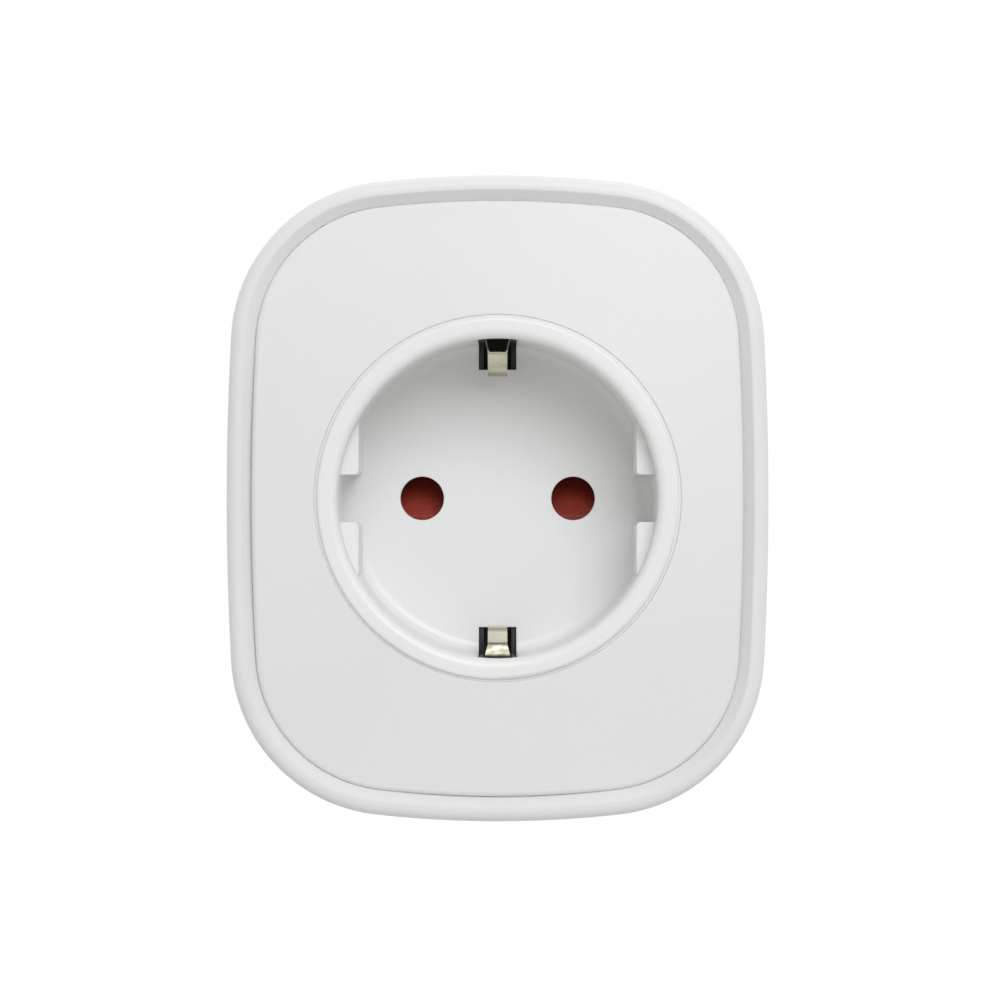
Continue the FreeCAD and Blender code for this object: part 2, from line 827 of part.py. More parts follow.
def make_plug_boss():
    """The hollow round plug body, set into the casing's back, with two ribs on each side."""
    body = new_body("plug_boss_body")
    sketch = front_sketch(body, 0)
    circle(sketch, 0, 0, d.boss_r)
    pad(body, sketch, d.boss_len + d.wall)
    dress(body, "Fillet", 1.0, lambda e: is_ring(e, 0, d.boss_r))
    sketch = front_sketch(body, 0)
    for sx, sz in CORNERS:
        rectangle(sketch, sx * d.boss_flat, sx * (d.boss_r + 1), sz * d.boss_rib / 2, sz * as_dim(10))
    pocket(body, sketch, d.boss_len, reverse=True)
    sketch = front_sketch(body, BACK_INSIDE + 0.5)
    circle(sketch, 0, 0, d.boss_hollow)
    pocket(body, sketch, BACK_INSIDE + 0.5 - d.face_t)
    add_boss_details(body)
    node(body, "plug_boss")


def add_boss_details(body):
    """Pin and earth holes in the plug face, and the grooves for the side earth strips."""
    sketch = front_sketch(body, 0)
    for side in (-1, 1):
        circle(sketch, side * PIN_X, 0, d.pin_r + 0.05)
    circle(sketch, 0, d.french_z, d.french_r)
    pocket(body, sketch, d.face_t + 1, reverse=True)
    sketch = front_sketch(body, d.face_t)
    for side in (-1, 1):
        circle(sketch, side * PIN_X, 0, d.pin_r + 1.3)
    pocket(body, sketch, 1.5)
    for side in (-1, 1):
        half = d.earth_w / 2 + 0.15
        sketch = front_sketch(body, 0)
        low = d.earth_r - d.earth_t - 0.05
        rectangle(sketch, -half, half, side * low, side * (d.boss_r + 1))
        pocket(body, sketch, d.boss_len, reverse=True)
        sketch = front_sketch(body, d.boss_len - 1)
        rectangle(sketch, -half, half, side * low, side * (d.earth_r + 0.1))
        pocket(body, sketch, d.wall + 2, reverse=True)


def add_rear_posts(body):
    """Screw posts with counterbores from the back, and low posts that carry the board."""
    sketch = front_sketch(body, BACK_INSIDE - 0.5)
    corner_circles(sketch, d.post_r)
    pad(body, sketch, d.seam_station - BACK_INSIDE + 0.5)
    sketch = front_sketch(body, d.boss_len - 1)
    corner_circles(sketch, d.case_screw_r + 0.1)
    pocket(body, sketch, 30, reverse=True)
    sketch = front_sketch(body, d.boss_len - 1)
    corner_circles(sketch, d.counterbore_r)
    pocket(body, sketch, d.counterbore_floor + 1, reverse=True)
    for radius, cutting in ((2.4, False), (0.85, True)):
        sketch = front_sketch(body, BACK_INSIDE - 0.5)
        for side in (-1, 1):
            circle(sketch, side * d.board_screw_x, side * d.board_screw_z, radius)
        if cutting:
            pocket(body, sketch, 3, reverse=True)
        else:
            pad(body, sketch, d.board_back - BACK_INSIDE + 0.45)
    sketch = front_sketch(body, d.boss_len)
    rectangle(sketch, -13.2, 13.2, -34.2, -22.8)
    pocket(body, sketch, 0.25, reverse=True)


def add_side_openings(body):
    """Openings in the right side wall for the button and the light pipe.

    On this plane local x is Y and local y is Z, so stations enter with a minus sign."""
    sketch = new_sketch(body, "YZ_Plane", d.body_w / 2 + 1)
    play = 2 * d.button_gap
    upright_pill(sketch, -d.button_station, 0, d.button_l + play, d.button_w + play)
    circle(sketch, -d.button_station, d.lamp_z, d.lamp_r + 0.08)
    pocket(body, sketch, 6)


def upright_pill(sketch, x, y, length, width):
    """A slot with round ends, long along the sketch's y."""
    cx, cy, r = as_dim(x).value, as_dim(y).value, as_dim(width).value / 2
    reach = (as_dim(length) - width) / 2
    half = reach.value
    normal = Vector(0, 0, 1)
    top = Part.ArcOfCircle(Part.Circle(Vector(cx, cy + half, 0), normal, r), 0, math.pi)
    low = Part.ArcOfCircle(Part.Circle(Vector(cx, cy - half, 0), normal, r), math.pi, 2 * math.pi)
    left = Part.LineSegment(Vector(cx - r, cy + half, 0), Vector(cx - r, cy - half, 0))
    right = Part.LineSegment(Vector(cx + r, cy - half, 0), Vector(cx + r, cy + half, 0))
    pieces = [sketch.addGeometry(g) for g in (top, left, low, right)]
    for i, piece in enumerate(pieces):
        constrain(sketch, "Tangent", piece, 2, pieces[(i + 1) % 4], 1)
    constrain(sketch, "Radius", pieces[0], size=as_dim(width) / 2)
    place_point(sketch, pieces[0], 3, x, as_dim(y) + reach)
    place_point(sketch, pieces[2], 3, x, as_dim(y) - reach)


def leaf_corners(points, thickness):
    """Outline of a bent strip of even thickness along a path of (station, height) points."""
    above, below = [], []
    for i, (s, z) in enumerate(points):
        before = points[max(i - 1, 0)]
        after = points[min(i + 1, len(points) - 1)]
        arriving = math.atan2(z - before[1], s - before[0]) if i else None
        leaving = math.atan2(after[1] - z, after[0] - s) if after != (s, z) else None
        angles = [a for a in (arriving, leaving) if a is not None]
        middle = math.atan2(sum(map(math.sin, angles)), sum(map(math.cos, angles)))
        mitre = thickness / 2 / math.cos(angles[-1] - middle)
        nx, nz = -math.sin(middle) * mitre, math.cos(middle) * mitre
        above.append((s + nx, z + nz))
        below.append((s - nx, z - nz))
    return above + below[::-1]


def make_shutter():
    """Two ramped pads joined by a bar, so that two pins together push it down."""
    body = new_body("shutter_body")
    sketch = new_sketch(body, "YZ_Plane")
    half = d.shutter_pad / 2
    front = BASE_FRONT - 0.1
    back = front - d.shutter_t
    corners = [(back, -half), (front, -half), (front, 1 - half), (back + 1.6, half), (back, half)]
    polygon(sketch, [(-s, z) for s, z in corners])
    pad(body, sketch, 2 * d.shutter_half, middle=True)
    sketch = front_sketch(body, front)
    rectangle(sketch, -d.shutter_bar_x, d.shutter_bar_x, -4, 4)
    pocket(body, sketch, d.shutter_bar_drop)
    node(body, "shutter")


def make_shutter_spring():
    """Coil between the shutter and the far end of its slot."""
    low = -d.spring_low.value
    high = -(d.shutter_pad / 2) - 0.02
    wire = d.spring_wire.value
    radius = d.spring_r.value
    length = high.value - low - wire
    coil = Part.makeHelix(length / d.spring_turns.value, length, radius)
    section = Part.Wire(Part.Circle(Vector(radius, 0, 0), Vector(0, 1, 0), wire / 2).toShape())
    shape = Part.Wire(coil.Edges).makePipeShell([section], True, True)
    middle = BASE_FRONT.value - 0.1 - d.shutter_t.value / 2
    piece = fixed_shape("spring_coil", shape)
    piece.Placement = Placement(Vector(0, -middle, low + wire / 2), Rotation())
    node(piece, "shutter_spring")


def clip_path(side):
    """Path of the upper or lower earth leaf from its root to its free tip."""
    root = (FRONT - d.clip_root_back).value
    reach = 15.4 if side > 0 else 16.0
    run = ((0, d.clip_root_z.value), (1.2, 17.9), (8.4, reach), (11.1, 16.8))
    return [(root - back, side * z) for back, z in run]


def make_earth_leaf(side, label):
    """A bent spring leaf that narrows towards its tip; the upper one has a punched lead-in."""
    body = new_body(f"{label}_body")
    path = clip_path(side)
    sketch = new_sketch(body, "YZ_Plane")
    polygon(sketch, [(-s, z) for s, z in leaf_corners(path, d.clip_t.value)])
    pad(body, sketch, d.clip_w, middle=True)
    sketch = new_sketch(body, "YZ_Plane")
    circle(sketch, -path[0][0], path[0][1], d.clip_t / 2 + 0.12)
    pad(body, sketch, d.clip_w, middle=True)

    def bend(edge):
        box = edge.BoundBox
        across = box.XLength > d.clip_w.value - 0.1 and box.YLength < 0.01
        spots = (path[1], path[2])
        near = any(math.hypot(-box.Center.y - s, box.Center.z - z) < 0.4 for s, z in spots)
        return across and near

    dress(body, "Fillet", 0.6, bend)
    sketch = front_sketch(body, 30)
    for sx in (-1, 1):
        narrow = sx * d.leaf_w / 2
        wide = sx * (d.clip_w / 2 + 0.01)
        outer = sx * as_dim(3)
        edge = [(wide, 19.6), (narrow, 17.9), (narrow, 14), (outer, 14), (outer, 19.6)]
        polygon(sketch, [(x, side * as_dim(z)) for x, z in edge])
    pocket(body, sketch, 30, reverse=True)
    if side > 0:
        sketch = front_sketch(body, 30)
        window = [(-1.4, 19.5), (1.4, 19.5), (0.98, 17.95), (-0.98, 17.95)]
        polygon(sketch, window)
        pocket(body, sketch, 30, reverse=True)
    node(body, label)


def sheet_piece(label, points, width, thickness, radius):
    """A bent strip along (x, station, z) points, with its width along X."""
    path = [Vector(x, -s, z) for x, s, z in points]
    shape = strip(path, width, thickness, radius, Vector(1, 0, 0))
    node(fixed_shape(f"{label}_strip", shape), label)


def make_conductors():
    """Sheet-metal contacts, straps and earth parts that carry the current through the plug."""
    leg = WELL_OUT.value - 0.4
    bar = d.base_back.value - 0.8
    tip = clip_path(1)[0][0]
    points = [(0, tip, leg), (0, bar, leg), (0, bar, -leg), (0, tip, -leg)]
    sheet_piece("socket_earth_yoke", points, d.yoke_w.value, d.yoke_t.value, 0.8)
    for x, label in ((-PIN_X.value, "live_contact"), (PIN_X.value, "neutral_contact")):
        run = ((30.9, 2.5), (28.6, 1.8), (bar, 2.75), (bar, -2.75), (28.6, -1.8), (30.9, -2.5))
        sheet_piece(label, [(x, s, z) for s, z in run], d.contact_w.value, d.yoke_t.value, 0.5)
    for x, label in ((-PIN_X.value, "live_strap"), (PIN_X.value, "neutral_strap")):
        behind, drop = d.pin_tail.value + 0.35, -d.strap_z.value
        run = ((behind, 1.8), (behind, drop), (d.board_back.value - 0.1, drop))
        sheet_piece(label, [(x, s, z) for s, z in run], 3.0, d.earth_t.value, 0.8)
    side = d.earth_r.value - d.earth_t.value / 2
    bar = d.board_back.value - 1.1
    points = [(0, 1.2, side), (0, bar, side), (0, bar, -side), (0, 1.2, -side)]
    sheet_piece("plug_earth_strip", points, d.earth_w.value, d.earth_t.value, 0.8)
    link = box("link_block", -1.4, 1.4, d.board_back - 0.8, d.base_back - 1.1, -0.6, 0.6)
    node(link, "earth_link")


def make_plug_pin(x, label):
    """A round pin with a domed tip, a flange held in the plug face and a tail for the strap."""
    body = new_body(f"{label}_body")
    sketch = new_sketch(body, "XY_Plane")
    tip = d.pin_len
    neck = d.pin_r - d.pin_neck
    flange = d.pin_r + 1.1
    tail = d.pin_r - 0.2
    flange_back = d.face_t - 0.05 - d.flange_t
    profile = [
        (0, tip),
        (d.pin_r, tip),
        (d.pin_r, 0.3),
        (neck, 0.3),
        (neck, -flange_back),
        (flange, -flange_back),
        (flange, -(flange_back + d.flange_t)),
        (tail, -(flange_back + d.flange_t)),
        (tail, -d.pin_tail),
        (0, -d.pin_tail),
    ]
    polygon(sketch, profile)
    revolve(body, sketch)
    dress(body, "Fillet", d.pin_round, lambda e: is_ring(e, -tip, d.pin_r))
    body.Placement = Placement(Vector(as_dim(x).value, 0, 0), Rotation())
    bind(body, "Placement.Base.x", x)
    node(body, label)


def make_boss_parts():
    """Pins, the carrier that holds them and the tube for a wall socket's earth pin."""
    make_plug_pin(-PIN_X, "plug_pin_live")
    make_plug_pin(PIN_X, "plug_pin_neutral")
    near = d.face_t + 0.1
    disc = rod("carrier_disc", d.boss_hollow - 0.3, near, near + d.carrier_t)
    holes = [rod(f"carrier_hole_{n}", d.pin_r, 0, 20, x, 0) for n, x in enumerate((-PIN_X, PIN_X))]
    holes.append(rod("carrier_tube_hole", d.french_r + d.tube_wall + 0.15, 0, 20, 0, d.french_z))
    node(cut("carrier", disc, holes), "pin_carrier")
    end = d.board_back - 1.4
    tube = rod("tube_outside", d.french_r + d.tube_wall, d.face_t + 0.05, end, 0, d.french_z)
    bore = rod("tube_bore", d.french_r, 0, end - 1, 0, d.french_z)
    node(cut("tube", tube, [bore]), "earth_tube")


def screw(name, x, z, head_r, head_s, shafts):
    """Head and shaft steps of a round-head screw along Y."""
    parts = [rod(f"{name}_head", head_r, *head_s, x, z)]
    for n, (radius, start, stop) in enumerate(shafts):
        parts.append(rod(f"{name}_shaft_{n}", radius, start, stop, x, z))
    return fuse(f"{name}_solid", parts)


def cross_recess(name, x, z, s0, s1):
    """Two crossed slots that cut the driver recess of a screw head."""
    x, z = as_dim(x), as_dim(z)
    return [
        box(f"{name}_slot_a", x - 1.2, x + 1.2, s0, s1, z - 0.25, z + 0.25),
        box(f"{name}_slot_b", x - 0.25, x + 0.25, s0, s1, z - 1.2, z + 1.2),
    ]


def make_screws():
    """Four case screws, two screws for the contact base and two for the board."""
    floor = d.boss_len + d.counterbore_floor
    solids = []
    for n, (sx, sz) in enumerate(CORNERS):
        name = f"case_screw_{n}"
        x, z = sx * d.post_x, sz * d.post_z
        thread = d.seam_station - 0.2
        shafts = ((d.case_screw_r, floor - 0.2, d.seam_station), (1.0, thread, thread + 10))
        blank = screw(name, x, z, d.case_head_r, (floor - 2.2, floor), shafts)
        recess = cross_recess(name, x, z, floor - 3, floor - 1)
        solids.append(cut(f"{name}_cut", blank, recess))
    node(fuse("case_screws", solids), "housing_screws")
    solids = []
    for side in (-1, 1):
        name = f"base_screw_{side + 1}"
        x, z = side * d.base_screw_x, side * d.base_screw_z
        shafts = ((0.85, 26, 36.5),)
        blank = screw(name, x, z, 2.0, (d.base_back + 0.3, d.base_back + 2.2), shafts)
        recess = cross_recess(name, x, z, d.base_back, d.base_back + 1.3)
        solids.append(cut(f"{name}_cut", blank, recess))
    node(fuse("base_screw_pair", solids), "base_screws")
    solids = []
    for side in (-1, 1):
        name = f"board_screw_{side + 1}"
        x, z = side * d.board_screw_x, side * d.board_screw_z
        shafts = ((0.8, 19, BOARD_FRONT + 0.1),)
        blank = screw(name, x, z, 1.8, (BOARD_FRONT, BOARD_FRONT + 1.2), shafts)
        recess = cross_recess(name, x, z, BOARD_FRONT + 0.6, BOARD_FRONT + 2)
        solids.append(cut(f"{name}_cut", blank, recess))
    node(fuse("board_screw_pair", solids), "board_screws")


def make_main_board():
    """Board with an opening for the earth link and clearance round the screw posts."""
    body = new_body("main_board_body")
    sketch = front_sketch(body, d.board_back)
    outline(sketch, d.board_inset)
    pad(body, sketch, d.board_t)
    sketch = front_sketch(body, BOARD_FRONT)
    rectangle(sketch, -2.4, 2.4, -2.0, 2.0)
    corner_circles(sketch, d.post_r + 0.3)
    for side in (-1, 1):
        circle(sketch, side * d.board_screw_x, side * d.board_screw_z, 1.0)
    pocket(body, sketch, d.board_t + 1)
    node(body, "main_board")


BLOCKS = (
    # label, left, right, start above the board, stop above the board, low, high
    ("relay", -5, 14, 0, 15, -35.2, -23.4),
    ("film_capacitor", -14, 2, 0, 13, 24.2, 33.2),
    ("metering_chip", 17.5, 23.5, 0, 1.1, 14, 19),
    ("shunt_resistor", 19.5, 25.5, 0, 0.8, -8.2, -4.4),
    ("radio_board", -27.6, -26.6, 0, 21, -10, 10),
    ("radio_shield", -26.6, -24.6, 4.5, 18, -7, 7),
    ("status_led", 26.2, 27.9, 0, 3.6, 9.1, 10.9),
)
CANS = (
    # label, radius, height, x, z
    ("electrolytic_capacitor", 4.9, 15, 9.5, 29.6),
    ("power_inductor", 4.0, 9, -11.2, -29),
    ("fuse", 2.6, 8.5, 26, -18),
)
SMALL_X = (-19.5, -14.6, -9.7, -4.8, 2.9, 7.8, 12.7, 17.6)
SMALL_Z = (-12, -6.8, -1.6, 3.6)


def make_components():
    """Parts standing on the board's front face."""
    base = BOARD_FRONT
    for label, left, right, start, stop, low, high in BLOCKS:
        node(box(f"{label}_block", left, right, base + start, base + stop, low, high), label)
    for label, radius, height, x, z in CANS:
        node(rod(f"{label}_can", radius, base, base + height, x, z), label)
    node(sideways_rod("varistor_disc", 4.5, -27, -24, base + 5.5, 16.2), "varistor")
    chips = []
    for n, x in enumerate(SMALL_X):
        z = 12.5 if n % 2 else -13.5
        chips.append(box(f"small_part_{n}", x, x + 2.0, base, base + 0.7, z, z + 1.2))
    for n, z in enumerate(SMALL_Z):
        chips.append(box(f"side_part_{n}", -17.5, -16.3, base, base + 0.7, z, z + 2.0))
    node(fuse("small_parts", chips), "smd_parts")


def sideways_rod(name, radius, x0, x1, station, z):
    """A cylinder along X."""
    radius, x0, x1, station, z = (as_dim(v) for v in (radius, x0, x1, station, z))
    bar = doc.addObject("Part::Cylinder", name)
    for prop, size in (("Radius", radius), ("Height", x1 - x0)):
        setattr(bar, prop, size.value)
        bind(bar, prop, size)
    turned = Rotation(Vector(0, 1, 0), 90)
    bar.Placement = Placement(Vector(x0.value, -station.value, z.value), turned)
    for axis, size in (("x", x0), ("y", -station), ("z", z)):
        bind(bar, f"Placement.Base.{axis}", size)
    return bar


def make_side_controls():
    """Button, switch, lamp pipe and the blank label on the back."""
    outside = d.body_w / 2
    body = new_body("button_cap_body")
    sketch = new_sketch(body, "YZ_Plane", outside - d.wall - 0.3)
    upright_pill(sketch, -d.button_station, 0, d.button_l, d.button_w)
    pad(body, sketch, d.wall + 0.3 + d.button_proud)
    dress(body, "Fillet", 0.4, lambda e: e.BoundBox.XMin > outside.value + 0.3)
    sketch = new_sketch(body, "YZ_Plane", outside - d.wall - 0.75)
    upright_pill(sketch, -d.button_station, 0, d.button_l + 2, d.button_w - 0.4)
    pad(body, sketch, 0.6)
    sketch = new_sketch(body, "YZ_Plane", outside - d.wall - 1.25)
    circle(sketch, -d.button_station, 0, 1.3)
    pad(body, sketch, 0.6)
    node(body, "button_cap")
    face = outside - d.wall - 1.95
    case = box("switch_case", face - d.switch_depth, face, BOARD_FRONT, BOARD_FRONT + 5.6, -3, 3)
    hole = sideways_rod("switch_hole", 1.6, face - 1.4, face + 1, d.button_station, 0)
    node(cut("switch", case, [hole]), "tact_switch")
    stem = sideways_rod("stem", 1.5, face - 0.7, face + 0.65, d.button_station, 0)
    node(stem, "tact_plunger")
    pipe = sideways_rod("pipe", d.lamp_r, 28.2, outside - 0.2, d.button_station, d.lamp_z)
    node(pipe, "light_pipe")
    label = box("label_sheet", -13, 13, d.boss_len + 0.05, d.boss_len + 0.25, -34, -23)
    node(label, "rating_label")


make_front_housing()
make_face_panel()
make_socket_insert()
make_contact_base()
make_rear_housing()
make_plug_boss()
make_shutter()
make_shutter_spring()
make_earth_leaf(1, "earth_leaf_upper")
make_earth_leaf(-1, "earth_leaf_lower")
make_conductors()
make_boss_parts()
make_screws()
make_main_board()
make_components()
make_side_controls()

doc.recompute()
for thing in doc.Objects:
    if "Invalid" in thing.State or "Error" in thing.State:
        raise RuntimeError(f"{thing.Label} is invalid")

os.makedirs("parts", exist_ok=True)
for piece in nodes:
    shape = piece.Shape
    if shape.isNull() or not shape.isValid() or not shape.Solids:
        raise RuntimeError(f"{piece.Label} has no valid solid")
    print(piece.Label, len(shape.Solids), round(shape.Volume, 1))
    shape.exportStep(f"parts/{piece.Label}.step")
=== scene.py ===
import json
import math

import bmesh
import bpy
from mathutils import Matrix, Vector


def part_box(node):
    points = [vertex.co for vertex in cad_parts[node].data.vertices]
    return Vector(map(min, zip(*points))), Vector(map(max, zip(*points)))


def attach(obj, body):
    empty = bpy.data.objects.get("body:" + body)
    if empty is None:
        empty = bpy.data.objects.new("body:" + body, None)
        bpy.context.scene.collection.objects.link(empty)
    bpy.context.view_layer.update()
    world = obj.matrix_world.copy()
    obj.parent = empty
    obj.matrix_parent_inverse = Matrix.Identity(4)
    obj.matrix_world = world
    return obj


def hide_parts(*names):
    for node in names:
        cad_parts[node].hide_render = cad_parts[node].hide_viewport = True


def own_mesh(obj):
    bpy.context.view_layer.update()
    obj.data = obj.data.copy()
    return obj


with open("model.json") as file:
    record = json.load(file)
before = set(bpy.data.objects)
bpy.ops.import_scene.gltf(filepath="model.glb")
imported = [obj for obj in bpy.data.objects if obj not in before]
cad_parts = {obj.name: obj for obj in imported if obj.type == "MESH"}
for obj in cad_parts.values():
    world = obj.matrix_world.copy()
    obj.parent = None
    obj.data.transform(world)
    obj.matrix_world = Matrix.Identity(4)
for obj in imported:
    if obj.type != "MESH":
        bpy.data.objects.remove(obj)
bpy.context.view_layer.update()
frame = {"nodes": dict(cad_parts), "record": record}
nodes = frame["nodes"]


# ---------------------------------------------------------------- materials


class Shader:
    """A node material around one Principled shader, with short calls for the nodes it uses."""

    def __init__(self, name, color, roughness, metallic=0.0, ior=1.5):
        self.material = bpy.data.materials.new(name)
        self.material.use_nodes = True
        self.tree = self.material.node_tree
        self.main = self.tree.nodes["Principled BSDF"]
        self.set(**{"Metallic": metallic, "IOR": ior, "Roughness": roughness})
        self.main.inputs["Base Color"].default_value = (*color, 1)
        self.place = self.add("ShaderNodeTexCoord").outputs["Object"]
        self.height = None

    def set(self, **values):
        for socket, value in values.items():
            self.main.inputs[socket].default_value = value

    def add(self, kind, **settings):
        made = self.tree.nodes.new(kind)
        for key, value in settings.items():
            setattr(made, key, value)
        return made

    def link(self, source, target):
        self.tree.links.new(source, target)

    def stretched(self, scale):
        """The object's own coordinates, scaled per axis."""
        mapping = self.add("ShaderNodeMapping")
        mapping.inputs["Scale"].default_value = scale
        self.link(self.place, mapping.inputs["Vector"])
        return mapping.outputs["Vector"]

    def noise(self, scale, detail=3.0, rough=0.55, where=None):
        node = self.add("ShaderNodeTexNoise")
        node.inputs["Scale"].default_value = scale
        node.inputs["Detail"].default_value = detail
        node.inputs["Roughness"].default_value = rough
        self.link(where or self.place, node.inputs["Vector"])
        return node.outputs["Fac"]

    def cells(self, scale, feature="F1"):
        node = self.add("ShaderNodeTexVoronoi", feature=feature)
        node.inputs["Scale"].default_value = scale
        self.link(self.place, node.inputs["Vector"])
        return node.outputs["Distance"]

    def remap(self, source, low, high, to_low, to_high):
        node = self.add("ShaderNodeMapRange")
        limits = {"From Min": low, "From Max": high, "To Min": to_low, "To Max": to_high}
        for socket, value in limits.items():
            node.inputs[socket].default_value = value
        self.link(source, node.inputs["Value"])
        return node.outputs["Result"]

    def blend(self, factor, first, second):
        """Mixes two colours; each is a colour or a socket."""
        node = self.add("ShaderNodeMix", data_type="RGBA")
        for index, value in ((6, first), (7, second)):
            if isinstance(value, tuple):
                node.inputs[index].default_value = (*value, 1)
            else:
                self.link(value, node.inputs[index])
        self.link(factor, node.inputs[0])
        return node.outputs[2]

    def paint(self, source):
        self.link(source, self.main.inputs["Base Color"])

    def gloss(self, source):
        self.link(source, self.main.inputs["Roughness"])

    def bump(self, source, strength, distance, edge=0.0):
        node = self.add("ShaderNodeBump")
        node.inputs["Strength"].default_value = strength
        node.inputs["Distance"].default_value = distance
        self.link(source, node.inputs["Height"])
        if self.height is not None:
            self.link(self.height, node.inputs["Normal"])
        elif edge:
            rounding = self.add("ShaderNodeBevel", samples=6)
            rounding.inputs["Radius"].default_value = edge
            self.link(rounding.outputs["Normal"], node.inputs["Normal"])
        self.height = node.outputs["Normal"]
        self.link(self.height, self.main.inputs["Normal"])


def shade(color, factor):
    return tuple(c * factor for c in color)


def moulded(name, color, roughness, grain=0.25, pitch=2600, edge=0.00012, uneven=0.03, glow=0.0):
    """Injection-moulded plastic: spark-eroded grain, faint flow shading and soft edges."""
    made = Shader(name, color, roughness)
    broad = made.noise(26, 2.0)
    fine = made.noise(pitch, 2.0, 0.6)
    darker, paler = shade(color, 1 - uneven), shade(color, 1 + uneven * 0.4)
    tint = made.blend(made.remap(broad, 0.3, 0.7, 0, 1), darker, paler)
    speck = made.blend(made.remap(fine, 0.25, 0.75, 0, 1), tint, shade(color, 1 - uneven * 0.8))
    mixed = made.blend(made.remap(broad, 0.2, 0.8, 0.35, 0.6), tint, speck)
    made.paint(mixed)
    made.gloss(made.remap(fine, 0.2, 0.8, roughness - 0.06, roughness + 0.08))
    made.bump(made.cells(pitch * 0.55), grain * 0.6, 0.00003, edge)
    made.bump(fine, grain, 0.00004)
    if glow:
        made.set(**{"Subsurface Weight": glow, "Subsurface Scale": 0.0012})
        made.main.inputs["Subsurface Radius"].default_value = (1.0, 0.85, 0.7)
    return made


def plated(name, color, roughness, along=(60, 60, 60), streak=0.12, edge=0.00006, tarnish=0.06, dents=0.0):
    """Rolled or turned metal with fine drawn lines and slight tarnish."""
    made = Shader(name, color, roughness, metallic=1.0, ior=2.2)
    lines = made.noise(1.0, 4.0, 0.6, made.stretched(along))
    cloud = made.noise(240, 4.0, 0.6)
    made.paint(made.blend(made.remap(cloud, 0.35, 0.75, 0, 1), color, shade(color, 1 - tarnish * 2.4)))
    made.gloss(made.remap(lines, 0.25, 0.75, roughness - streak * 0.5, roughness + streak))
    made.bump(lines, 0.14, 0.00002, edge)
    made.bump(cloud, 0.05, 0.00003)
    if dents:
        made.bump(made.noise(900, 1.0, 0.4), dents, 0.0003)
    return made


def clip_metal(name):
    """Springy plated strip with painted shade: darker towards its root and in the roll of its tip."""
    made = plated(name, (0.80, 0.75, 0.59), 0.17, (2600, 160, 160), 0.06, tarnish=0.14, dents=0.36)
    parts = made.add("ShaderNodeSeparateXYZ")
    made.link(made.place, parts.inputs["Vector"])
    layer = made.main.inputs["Base Color"].links[0].from_socket
    # Painted shade in bands across the two clips, standing in for shadow: lower edge, middle and upper
    # edge along Z, and how dark.
    shade_bands = (
        (0.0178, 0.0183, 0.0300, 0.12),
        (0.0150, 0.0154, 0.0158, 0.42),
        (-0.0300, -0.0193, -0.0189, 0.05),
        (-0.0166, -0.0162, -0.0159, 0.30),
        (-0.0182, -0.0179, -0.0176, 0.50),
    )
    for low, middle, high, dark in shade_bands:
        rising = made.remap(parts.outputs["Z"], low, middle, 0, 1)
        falling = made.remap(parts.outputs["Z"], middle, high, 1, 0)
        band = made.add("ShaderNodeMath", operation="MULTIPLY")
        made.link(rising, band.inputs[0])
        made.link(falling, band.inputs[1])
        # Painted shade: each band multiplies the colour darker where shadow would fall on the clip.
        painted_shade = made.add("ShaderNodeMix", data_type="RGBA", blend_type="MULTIPLY")
        made.link(band.outputs["Value"], painted_shade.inputs[0])
        made.link(layer, painted_shade.inputs[6])
        painted_shade.inputs[7].default_value = (dark, dark, dark, 1)
        layer = painted_shade.outputs[2]
    made.paint(layer)
    scuffed, bright = 0.34, 0.17
    made.gloss(made.remap(parts.outputs["Z"], -0.0180, -0.0176, scuffed, bright))
    return made


def solder_mask(name, color):
    """Circuit board: copper runs under a glossy mask, with small plated holes."""
    made = Shader(name, color, 0.32)
    runs = made.cells(420, "DISTANCE_TO_EDGE")
    holes = made.cells(700)
    copper = made.remap(runs, 0.03, 0.06, 1, 0)
    traced = made.blend(copper, color, shade(color, 2.1))
    made.paint(made.blend(made.remap(holes, 0.10, 0.13, 1, 0), traced, (0.75, 0.72, 0.62)))
    made.gloss(made.remap(made.noise(900), 0.3, 0.7, 0.26, 0.42))
    made.bump(copper, 0.5, 0.00004, 0.0001)
    return made


def sleeve(name, color, band):
    """Shrink sleeve of a capacitor or choke with a paler stripe down one side."""
    made = Shader(name, color, 0.3)
    wave = made.add("ShaderNodeTexWave", bands_direction="X")
    wave.inputs["Scale"].default_value = 26
    wave.inputs["Distortion"].default_value = 0.4
    made.link(made.place, wave.inputs["Vector"])
    stripe = made.remap(wave.outputs["Fac"], 0.82, 0.86, 0, 1)
    made.paint(made.blend(stripe, color, band))
    made.gloss(made.remap(made.noise(300), 0.3, 0.7, 0.24, 0.4))
    made.bump(made.noise(1400), 0.12, 0.00004, 0.0001)
    return made


def printed_film(name, color, ink):
    """Matte label film printed with an empty table of thin lines."""
    made = moulded(name, color, 0.38, 0.15, 3600)
    turned = made.add("ShaderNodeMapping")
    turned.inputs["Rotation"].default_value = (math.radians(90), 0, 0)
    turned.inputs["Location"].default_value = (0.013, 0, 0)
    made.link(made.place, turned.inputs["Vector"])
    table = made.add("ShaderNodeTexBrick", offset=0.0)
    layout = {"Scale": 100, "Mortar Size": 0.012, "Brick Width": 0.86, "Row Height": 0.215}
    for socket, value in layout.items():
        table.inputs[socket].default_value = value
    made.link(turned.outputs["Vector"], table.inputs["Vector"])
    base = made.main.inputs["Base Color"].links[0].from_socket
    made.paint(made.blend(table.outputs["Fac"], base, ink))
    return made


